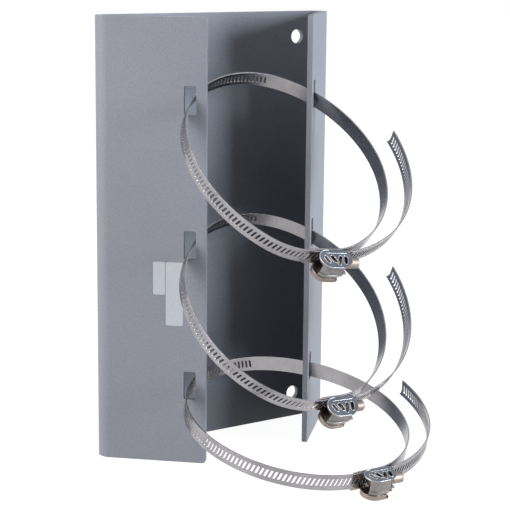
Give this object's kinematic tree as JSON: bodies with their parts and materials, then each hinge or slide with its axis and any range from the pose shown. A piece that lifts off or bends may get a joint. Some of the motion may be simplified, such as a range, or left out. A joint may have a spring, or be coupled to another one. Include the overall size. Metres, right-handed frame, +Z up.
{
  "type": "camera pole mount bracket",
  "caption": "Folded steel channel bracket that straps a camera to a pole with quick-release worm clamps threaded through slots in its flanges.",
  "frame": {"origin": "centre of the camera hole pattern on the outer face of the web", "axes": "+Z up along the channel, +Y out of the web towards the camera, +X to the right seen from the pole; the pole stands on the -Y side"},
  "size_m": [0.1618, 0.1684, 0.25],
  "materials": {
    "powder_coat": "fine textured powder coat, grey",
    "stainless_band": "rolled stainless strip",
    "pressed_steel": "pressed and tumbled",
    "screw_steel": "turned, bright",
    "label": "matt white film"
  },
  "bodies": {
    "bracket": {"bracket_channel": "powder_coat", "small_label": "label", "long_label": "label"},
    "top_clamp": {"top_band": "stainless_band", "top_saddle": "pressed_steel", "top_hinge_rivet": "screw_steel"},
    "top_head": {"top_swing_housing": "pressed_steel", "top_latch_pin": "screw_steel"},
    "top_screw": {"top_worm_screw": "screw_steel"},
    "middle_clamp": {"middle_band": "stainless_band", "middle_saddle": "pressed_steel", "middle_hinge_rivet": "screw_steel"},
    "middle_head": {"middle_swing_housing": "pressed_steel", "middle_latch_pin": "screw_steel"},
    "middle_screw": {"middle_worm_screw": "screw_steel"},
    "bottom_clamp": {"bottom_band": "stainless_band", "bottom_saddle": "pressed_steel", "bottom_hinge_rivet": "screw_steel"},
    "bottom_head": {"bottom_swing_housing": "pressed_steel", "bottom_latch_pin": "screw_steel"},
    "bottom_screw": {"bottom_worm_screw": "screw_steel"}
  },
  "joints": [
    {"name": "top_clamp_tilt", "type": "hinge", "parent": "bracket", "child": "top_clamp", "pos_m": [0, -0.04582, 0.0778], "axis": [-1, 0, 0], "range_deg": [0, 41.2]},
    {"name": "top_head_swing", "type": "hinge", "parent": "top_clamp", "child": "top_head", "pos_m": [-0.01401, -0.13406, 0.00055], "axis": [0, 0.6587, -0.7524], "range_deg": [0, 60]},
    {"name": "top_screw_turn", "type": "hinge", "parent": "top_head", "child": "top_screw", "pos_m": [-0.00877, -0.13318, 0.00132], "axis": [0.9885, -0.1138, -0.0996], "continuous": true},
    {"name": "middle_clamp_tilt", "type": "hinge", "parent": "bracket", "child": "middle_clamp", "pos_m": [0, -0.04582, -0.0022], "axis": [-1, 0, 0], "range_deg": [0, 41.4]},
    {"name": "middle_head_swing", "type": "hinge", "parent": "middle_clamp", "child": "middle_head", "pos_m": [-0.00704, -0.13381, -0.07978], "axis": [0, 0.6613, -0.7501], "range_deg": [0, 60]},
    {"name": "middle_screw_turn", "type": "hinge", "parent": "middle_head", "child": "middle_screw", "pos_m": [-0.00197, -0.1325, -0.07862], "axis": [0.9992, -0.0301, -0.0265], "continuous": true},
    {"name": "bottom_clamp_tilt", "type": "hinge", "parent": "bracket", "child": "bottom_clamp", "pos_m": [0, -0.04582, -0.0822], "axis": [-1, 0, 0], "range_deg": [-26.4, 15]},
    {"name": "bottom_head_swing", "type": "hinge", "parent": "bottom_clamp", "child": "bottom_head", "pos_m": [-0.00081, -0.16085, -0.11302], "axis": [0, 0.2588, -0.9659], "range_deg": [0, 60]},
    {"name": "bottom_screw_turn", "type": "hinge", "parent": "bottom_head", "child": "bottom_screw", "pos_m": [0.00426, -0.15914, -0.11256], "axis": [0.9993, -0.0354, -0.0095], "continuous": true}
  ]
}
